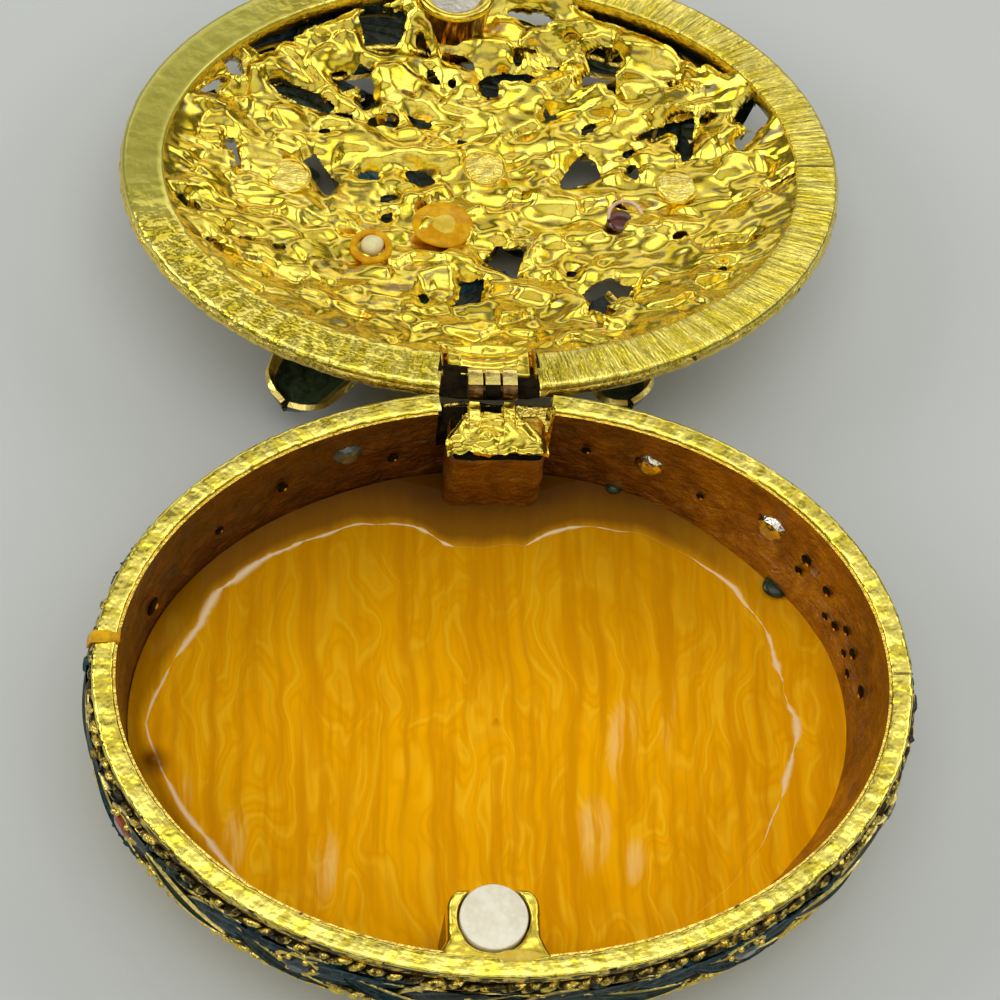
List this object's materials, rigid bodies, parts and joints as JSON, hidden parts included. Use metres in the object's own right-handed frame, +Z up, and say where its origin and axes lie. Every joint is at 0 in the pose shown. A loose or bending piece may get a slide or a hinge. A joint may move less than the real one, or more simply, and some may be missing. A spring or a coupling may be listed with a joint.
{
  "type": "trinket box",
  "caption": "Oval cast trinket box with resin-filled bowl, magnet clasp, and a hinged openwork lid that lies back open on its flower ornaments.",
  "frame": {"origin": "centre of the base's underside", "axes": "+Z up, +X along the box's long axis, +Y from the clasp at the front to the hinge at the back, where the lid lies open"},
  "size_m": [0.0678, 0.1015, 0.0169],
  "materials": {
    "gold_casting": "bright gold plating over a hand-filed casting",
    "hinge_gold": "polished gold plating",
    "amber_resin": "glossy pearly amber resin",
    "magnet_nickel": "dull nickel plating",
    "pin_steel": "plain steel wire",
    "blossom_enamel": "glossy enamel on metal",
    "leaf_enamel": "glossy dark green enamel on metal",
    "crystal": "clear faceted crystal"
  },
  "bodies": {
    "base": {"base_shell": "gold_casting", "resin_floor": "amber_resin", "base_magnet": "magnet_nickel", "base_hinge_leaf": "hinge_gold", "hinge_pin": "pin_steel", "side_stone_1": "crystal", "side_stone_2": "crystal", "side_stone_3": "crystal", "side_stone_4": "crystal", "side_stone_5": "crystal", "side_stone_6": "crystal", "side_stone_7": "crystal", "side_stone_8": "crystal"},
    "lid": {"lid_shell": "gold_casting", "lid_magnet": "magnet_nickel", "lid_hinge_leaf": "hinge_gold", "blossom_left": "blossom_enamel", "blossom_middle": "blossom_enamel", "blossom_right": "blossom_enamel", "blossom_left_stone": "crystal", "blossom_middle_stone": "crystal", "blossom_right_stone": "crystal", "leaf_back_left": "leaf_enamel", "leaf_back_right": "leaf_enamel", "leaf_front_left": "leaf_enamel", "leaf_front_right": "leaf_enamel", "lid_stone_1": "crystal", "lid_stone_2": "crystal", "lid_stone_3": "crystal", "lid_stone_4": "crystal", "lid_stone_5": "crystal", "lid_stone_6": "crystal"}
  },
  "joints": [
    {"name": "lid_hinge", "type": "hinge", "parent": "base", "child": "lid", "pos_m": [0, 0.02575, 0.01606], "axis": [1, 0, 0], "range_deg": [0, 187.2]}
  ]
}
